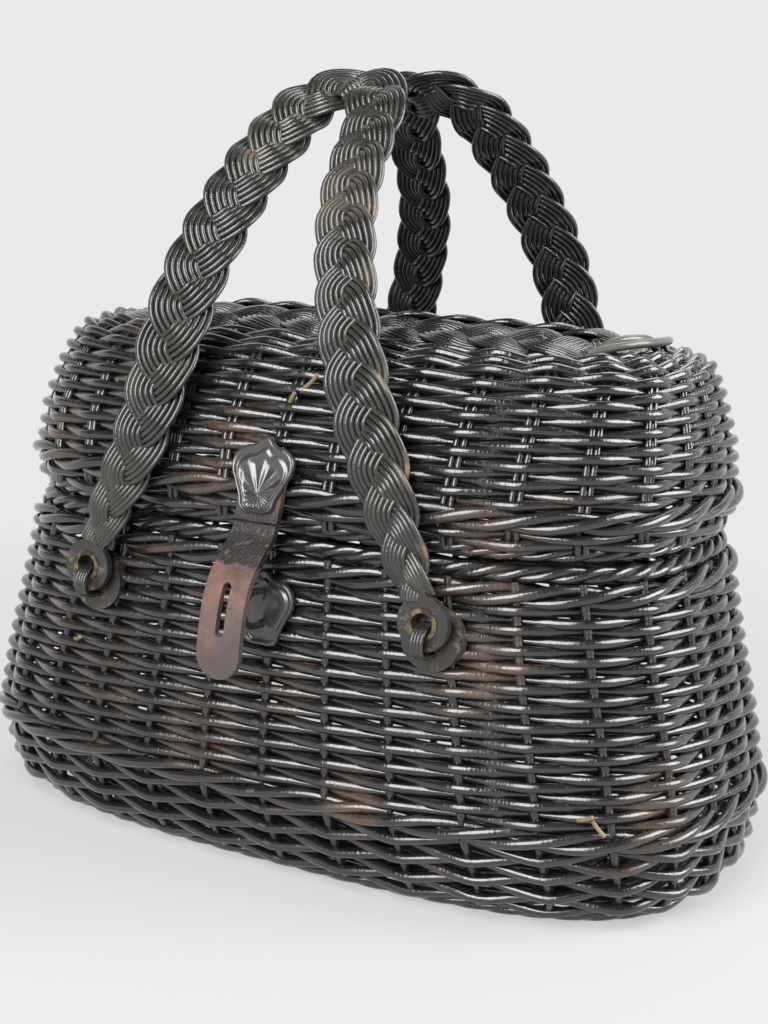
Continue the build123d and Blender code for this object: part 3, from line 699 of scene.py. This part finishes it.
def lid_top_stakes():
    """The paired stakes carried in over the flat top until they nearly meet."""
    height, pair_gap = top_height + 0.2, 2.0
    middle_span = 90.0         # stakes this far out run in from the round ends
    side_reach, end_reach, across_reach = 0.94, 0.75, 0.12
    paths = []
    for k in range(stake_count):
        foot = around(np.array([float(k)]), top_length + 1, top_width + 1, 0.0, height)[0]
        reach = side_reach if abs(foot[0]) < middle_span else end_reach
        end = np.array([foot[0] * reach, foot[1] * across_reach, height])
        line = foot + (end - foot) * np.linspace(0, 1, 8)[:, None]
        beside = np.cross(end - foot, (0, 0, 1))
        beside = beside / np.linalg.norm(beside)
        paths += [(line + beside * gap, False, 1.0) for gap in (-pair_gap, pair_gap)]
    return paths


willow_piece("lid_top_rods", "lid", lid_top_rows() + lid_top_stakes(), 1.8, seed=17, waver=0.5)


# Plaits.
def plait(line, at, out, fullness, sway, lift, period, rods, rod_gap, closed=False):
    """Three flat strands of side by side rods, plaited along a line."""
    if closed:
        along = unit(np.roll(line, -1, axis=0) - np.roll(line, 1, axis=0))
    else:
        along = unit(np.gradient(line, axis=0))
    across = unit(np.cross(along, out))
    out = unit(np.cross(across, along))
    paths = []
    for strand in range(3):
        phase = 2 * math.pi * (at / period + strand / 3)
        side = sway * fullness * np.tanh(plait_bend * np.sin(phase)) / math.tanh(plait_bend)
        tilt = np.arctan(np.gradient(side, at))
        for k in range(rods):
            beside = k - (rods - 1) / 2
            step = beside * rod_gap * fullness
            crown = -edge_fall * abs(beside) ** 1.5
            points = (line + across * (side + step * np.cos(tilt))[:, None]
                      - along * (step * np.sin(tilt))[:, None]
                      + out * (lift * np.sin(2 * phase) + crown)[:, None])
            paths.append((points, closed, 0.55 + 0.45 * fullness))
    return paths


handle_points = np.array([
    (-82.5, -116.0, 146.0), (-74.5, -118.0, 165.0), (-60.0, -118.5, 197.0),
    (-50.0, -111.5, 241.0), (-46.0, -97.0, 275.0), (-41.0, -73.0, 308.37),
    (-35.0, -46.193, 336.27), (-28.0, -27.2, 353.01), (-11.0, -15.2, 361.38),
    (6.0, -27.2, 353.01), (12.0, -46.193, 336.27), (20.0, -73.0, 308.37),
    (34.0, -97.0, 275.0), (48.0, -111.5, 241.0), (67.0, -118.5, 197.0),
    (79.5, -118.0, 165.0), (86.5, -116.0, 146.0)])


def eased(values, start, span):
    """0 up to the start, 1 after the span, and a smooth step between."""
    share = np.clip((values - start) / span, 0, 1)
    return share * share * (3 - 2 * share)


def handle_paths(turn_round, spread):
    """Plait of a handle, whose left leg, seen from its own side, is moved out by a spread."""
    foot_height, bow_height = 146.0, 215.0
    face_height = 119.0        # above the pivot, where the flat face looks away from the hinge
    turn_start, turn_span = 205.0, 65.0
    bow_middle, middle_reach = -5.0, 25.0
    left_leg = -20.0           # the left leg lies to the left of this
    taper_share = 0.16         # part of the length, at each end, in which the plait thins to half
    points = handle_points.copy()
    rise = np.clip((points[:, 2] - foot_height) / bow_height, 0, 1)
    points[:, 0] -= np.where(points[:, 0] < left_leg, spread * np.sin(math.pi * rise), 0)
    line, at, length = even_path(points, 1.9)
    away = unit(np.stack([0 * at, line[:, 1] - hinge_y, line[:, 2] - hinge_z], axis=1))
    ease = np.clip((line[:, 2] - pivot_z) / face_height, 0, 1)[:, None]
    out = unit(away * ease + np.array([0, -1, 0]) * (1 - ease))
    side = np.tanh((line[:, 0] - bow_middle) / middle_reach)
    out[:, 0] -= leg_turn * eased(line[:, 2], turn_start, turn_span) * side * (0.72 - 0.28 * side)
    share = np.minimum(at, length - at) / (taper_share * length)
    fullness = 0.5 + 0.5 * np.sin(np.clip(share, 0, 1) * math.pi / 2)
    paths = plait(line, at, unit(out), fullness, handle_sway, handle_lift, handle_period,
                  handle_rods, handle_rod_gap)
    if turn_round:
        paths = [(points * (-1, -1, 1), closed, shares) for points, closed, shares in paths]
    return paths


rod_piece("front_handle_rods", "front_handle", handle_paths(False, -3.0), charcoal_cane,
          "charcoal_cane", handle_rod, ("front_handle_plait",), sides=7, waver=0.3, seed=21)
# The rear handle takes the cane with painted shade.
rod_piece("rear_handle_rods", "rear_handle", handle_paths(True, 3.5), shaded_charcoal_cane,
          "charcoal_cane", handle_rod, ("rear_handle_plait",), sides=7, waver=0.3, seed=22)


band_straight = 96.0       # half length of the band's straights, between its round ends


def top_band_paths():
    """The wide plait that runs round the flat top of the lid as a long closed loop."""
    straight, bend, height = band_straight, 34.0, 249.6
    drop, lean, longest_period = 0.16, 0.16, 78.0
    turn = np.linspace(-math.pi / 2, math.pi / 2, 9)
    right = [(straight + bend * math.cos(t), bend * math.sin(t), height) for t in turn]
    left = [(-x, -y, z) for x, y, z in right]
    front = [(x, -bend, height) for x in np.linspace(-straight, straight, 10)[1:-1]]
    rear = [(-x, bend, height) for x in np.linspace(-straight, straight, 10)[1:-1]]
    line, at, length = even_path(right + rear + left + front, 2.0, closed=True)
    line[:, 2] -= drop * np.clip(np.abs(line[:, 0]) - straight, 0, None)
    out = unit(lean * unit(line * (0.25, 1.0, 0.0)) + (0.0, 0.0, 1.0))
    period = length / round(length / longest_period)
    return plait(line, at, out, np.ones(len(at)), sway=12.6, lift=2.0, period=period, rods=7,
                 rod_gap=2.5, closed=True)


willow_piece("lid_top_band", "lid", top_band_paths(), 1.36, ("lid_top_plait",), sides=7,
             waver=0.7, seed=23)


# Loose ends: rods cut off in the weave, and the grey rods that close the plait of the top.
# A cut end is its foot, its heading and its length.
raw_willow = painted_willow("Cut willow", colour(0.060, 0.045, 0.025), colour(0.26, 0.18, 0.085),
                            colour(0.50, 0.35, 0.17), 0.45, 0.20, coat=0.2)
grey_willow = painted_willow("Bare grey willow", colour(0.045, 0.045, 0.038),
                             colour(0.10, 0.095, 0.08), colour(0.20, 0.17, 0.13), 0.35, 0.05)
cut_ends = {
    "lid": [((12, -94, 224), (0.85, -0.10, 0.50), 11), ((7, -97, 216), (0.60, -0.15, 0.75), 8),
            ((-94, -85, 211), (0.10, -0.45, 0.80), 8), ((48, -90, 226), (-0.8, -0.3, 0.3), 8),
            ((-60, 90, 222), (0.7, 0.6, 0.2), 9), ((90, 84, 220), (-0.6, 0.7, 0.3), 9)],
    "basket": [((158, -91, 57), (0.85, -0.15, 0.40), 4), ((163, -88, 53), (0.6, 0.1, -0.6), 4),
               ((-100, -108, 96), (0.7, -0.6, 0.2), 8), ((70, 109, 88), (-0.7, 0.6, 0.2), 9),
               ((-110, 103, 60), (0.6, 0.7, 0.3), 9)],
}
for holder, ends in cut_ends.items():
    stubs = []
    for start, heading, length in ends:
        along = np.array(heading) / np.linalg.norm(heading)
        steps = np.linspace(-4.0, length, 6)[:, None]
        stubs.append((np.array(start) + along * steps + (0, 0, 0.02) * steps ** 2, False, 1.0))
    rod_piece(f"{holder}_cut_ends", holder, stubs, raw_willow, "black_willow", 0.95, seed=25,
              waver=0.9)


def closing_rods():
    """Thick bare rods bent round the right end of the plait on the top."""
    steps, end_drop = 16, 5.0
    paths = []
    for reach, height, first, last in ((47.0, 251.0, -0.95, 0.85), (42.5, 252.5, -0.80, 0.10)):
        turn = np.linspace(first, last, steps)
        rise = height - end_drop * np.abs(np.linspace(-1, 1, steps)) ** 3
        bow = np.stack([band_straight + reach * np.cos(turn), reach * np.sin(turn), rise], axis=1)
        paths.append((bow, False, 1.0))
    return paths


rod_piece("top_closing_rods", "lid", closing_rods(), grey_willow, "black_willow", 2.0, seed=26)


# Lashings of the hinge: flat bands of thin rods wound round the rim.
def stadium(radius, low, high):
    """Two half turns joined by straights: places across the loop, and places along it."""
    turn = np.linspace(0, math.pi, 10)
    across = radius * np.concatenate([np.cos(turn), -np.cos(turn)])
    along = np.concatenate([high + radius * np.sin(turn), low - radius * np.sin(turn)])
    return across, along


def upright_loop(x, y, z):
    """A closed path that stays at one place along the basket."""
    return np.stack([np.full(len(y), x), y, z], axis=1)


def hinge_loops():
    """Two loops, each of five rods, bound round the lid's edge and the rim rod."""
    border_height, radius, gap = 163.8, 6.0, 1.45
    across, up = stadium(radius, hinge_z, border_height)
    return [(upright_loop(middle + (k - 2) * gap, hinge_y + across, up), True, 1.0)
            for middle in (-50.0, 34.0) for k in range(5)]


willow_piece("hinge_lashings", "lid", hinge_loops(), 0.95, ("hinge_loops",), sides=7, waver=0.2,
             seed=24)


# Latch.
def hanging_strap():
    """The strap's own solid, turned aside and drawn in below the fold where the paint ends."""
    turn_start, turn_span = 4.0, 22.0       # above the fold, and down from there
    shift, aside, narrower = 0.6, 0.16, 0.12
    fold_swell, fold_reach = 1.2, 4.0
    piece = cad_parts["strap"].copy()
    piece.data = piece.data.copy()
    piece.name = piece.data.name = "worn_strap"
    piece.parent = None
    bpy.context.collection.objects.link(piece)
    work = bmesh.new()
    work.from_mesh(piece.data)
    bmesh.ops.remove_doubles(work, verts=work.verts, dist=1e-6)
    long_edges = [edge for edge in work.edges if edge.calc_length() > 3.5 * MM]
    bmesh.ops.subdivide_edges(work, edges=long_edges, cuts=2, use_grid_fill=True)
    for vert in work.verts:
        x, y, z = (v / MM for v in vert.co)
        turned = eased(strap_fold + turn_start - z, 0.0, turn_span)
        side = x - strap_middle
        fold = math.exp(-((z - strap_fold) / fold_reach) ** 2)
        vert.co.x = (strap_middle + shift * turned + side * (1 - narrower * turned)) * MM
        vert.co.y = (y + side * aside * turned - fold_swell * fold) * MM
    work.to_mesh(piece.data)
    work.free()
    settle(piece, "strap", ("strap",))


hanging_strap()
shield("upper_latch_shield", "lid", "upper_shield", (strap_middle, -115.4, 188.8), lean=15.0,
       fluted=True)
shield("lower_latch_shield", "basket", "lower_shield", (strap_middle, -110.7, 129.0), lean=4.5,
       fluted=False)


# Lacing that ties each eyelet to the weave.
def lacing(name, side, seed):
    """Four rods through each eyelet of a handle, whose side is 1 in front and -1 behind."""
    inward, radius, gap = 13.5, 6.5, 1.5
    up, across = stadium(radius, -pivot_y, -pivot_y + inward)
    loops = [upright_loop(foot + (k - 1.5) * gap, across, pivot_z + up)
             for foot in handle_feet for k in range(4)]
    paths = [(loop * (side, side, 1), True, 1.0) for loop in loops]
    rod_piece(name + "_rods", "basket", paths, charcoal_cane, "charcoal_cane", 1.0, (name,),
              sides=7, waver=0.3, seed=seed)


lacing("front_handle_lacing", 1, seed=25)
lacing("rear_handle_lacing", -1, seed=26)


# Floor, light and camera.
def paper_mesh():
    """A sheet that lies under the basket and curves up behind it, with a low rim all round."""
    reach, far, wall, bend = 4.0, 2.2, 3.0, 1.2
    curve = [(-reach, 0.0), (far - bend, 0.0)]
    curve += [(far - bend + bend * math.sin(t), bend - bend * math.cos(t))
              for t in np.linspace(0, math.pi / 2, 24)[1:]] + [(far, wall)]
    turn = Matrix.Rotation(math.radians(photo_azimuth), 3, "Z")
    points = [turn @ Vector((x, y, z)) for y, z in curve for x in (-reach, reach)]
    faces = [(2 * k, 2 * k + 1, 2 * k + 3, 2 * k + 2) for k in range(len(curve) - 1)]
    rim = [(3.0, 0.0), (3.3, 0.04), (3.55, 0.16), (3.75, 0.40), (3.85, 0.80), (3.88, 1.5)]
    first, sides = len(points), 48
    turns = [2 * math.pi * k / sides for k in range(sides)]
    points += [(radius * math.cos(t), radius * math.sin(t), height)
               for radius, height in rim for t in turns]
    for ring in range(len(rim) - 1):
        low, high = first + ring * sides, first + (ring + 1) * sides
        faces += [(low + k, low + (k + 1) % sides, high + (k + 1) % sides, high + k)
                  for k in range(sides)]
    mesh = bpy.data.meshes.new("paper")
    mesh.from_pydata(points, [], faces)
    mesh.polygons.foreach_set("use_smooth", [True] * len(faces))
    return mesh


def pale_paper():
    """Grey paper, which from further out shows itself only as one even pale tone."""
    grey, tone = 0.50, 0.82
    near, away, near_share = 0.25, 0.9, 0.6
    f = Finish("Pale paper")
    f.shade(base_color=colour(grey, grey, grey), roughness=0.95)
    glow = f.nodes.new("ShaderNodeEmission")
    glow.inputs["Color"].default_value = colour(tone, tone, tone)
    ray = f.nodes.new("ShaderNodeLightPath").outputs
    seen = f.math("ADD", ray["Is Camera Ray"], ray["Is Glossy Ray"], clamp=True)
    seen = f.math("ADD", seen, ray["Is Transmission Ray"], clamp=True)
    distance = f.nodes.new("ShaderNodeVectorMath")
    distance.operation = "LENGTH"
    f.put(distance.inputs[0], f.place)
    plain = f.ramp(distance.outputs["Value"], near, away, near_share)
    mix = f.nodes.new("ShaderNodeMixShader")
    f.put(mix.inputs[0], f.math("MULTIPLY", seen, plain))
    f.put(mix.inputs[1], f.shader.outputs[0])
    f.put(mix.inputs[2], glow.outputs[0])
    f.put(f.nodes["Material Output"].inputs["Surface"], mix.outputs[0])
    return f.material


def studio():
    """Pale paper under and behind the basket, in a dim pale room."""
    mesh = paper_mesh()
    mesh.materials.append(pale_paper())
    paper = bpy.data.objects.new("paper", mesh)
    bpy.context.collection.objects.link(paper)
    world = bpy.data.worlds.new("Pale room")
    bpy.context.scene.world = world
    world.use_nodes = True
    room = world.node_tree.nodes["Background"]
    room.inputs["Color"].default_value = colour(0.93, 0.95, 1.0)
    room.inputs["Strength"].default_value = 0.10


def softbox(name, place, aim, width, height, power):
    light = bpy.data.lights.new(name, "AREA")
    light.shape, light.size, light.size_y, light.energy = "RECTANGLE", width, height, power
    lamp = bpy.data.objects.new(name, light)
    bpy.context.collection.objects.link(lamp)
    lamp.location = place
    lamp.rotation_euler = (Vector(aim) - Vector(place)).to_track_quat("-Z", "Y").to_euler()


studio()
softbox("Window in front", (0.14, -1.2, 1.0), (0, 0, 0.15), 0.85, 1.5, 40.0)
softbox("Window on the right", (1.38, 0.45, 0.95), (0.05, 0, 0.12), 1.0, 1.15, 33.0)
softbox("Light from behind", (0.0, 0.95, 1.5), (0, 0, 0.2), 0.8, 0.8, 6.0)


def photo_camera():
    """Camera fitted to the photograph's view of the rim, the base and the lid."""
    azimuth, elevation, roll = (math.radians(v) for v in (photo_azimuth, 10.3, 2.5))
    distance, aim_right, aim_height = 868.7, 3.75, 155.6
    lens_px, photo_height_px = 1751.0, 1024
    back = Vector((math.sin(azimuth) * math.cos(elevation),
                   -math.cos(azimuth) * math.cos(elevation), math.sin(elevation)))
    aim = Vector((aim_right * math.cos(azimuth), aim_right * math.sin(azimuth), aim_height))
    right = Vector((0, 0, 1)).cross(back).normalized()
    up = back.cross(right)
    rolled_right = right * math.cos(roll) + up * math.sin(roll)
    rolled_up = up * math.cos(roll) - right * math.sin(roll)
    turn = Matrix((rolled_right, rolled_up, back)).transposed().to_4x4()
    lens = bpy.data.cameras.new("Photo camera")
    lens.sensor_fit, lens.sensor_height = "VERTICAL", 36.0
    lens.lens = lens_px / photo_height_px * lens.sensor_height
    lens.clip_start, lens.clip_end = 0.01, 20.0
    camera = bpy.data.objects.new("Photo camera", lens)
    bpy.context.collection.objects.link(camera)
    camera.matrix_world = Matrix.Translation((aim + back * distance) * MM) @ turn
    bpy.context.scene.camera = camera


photo_camera()
bpy.context.scene.view_settings.view_transform = "Standard"
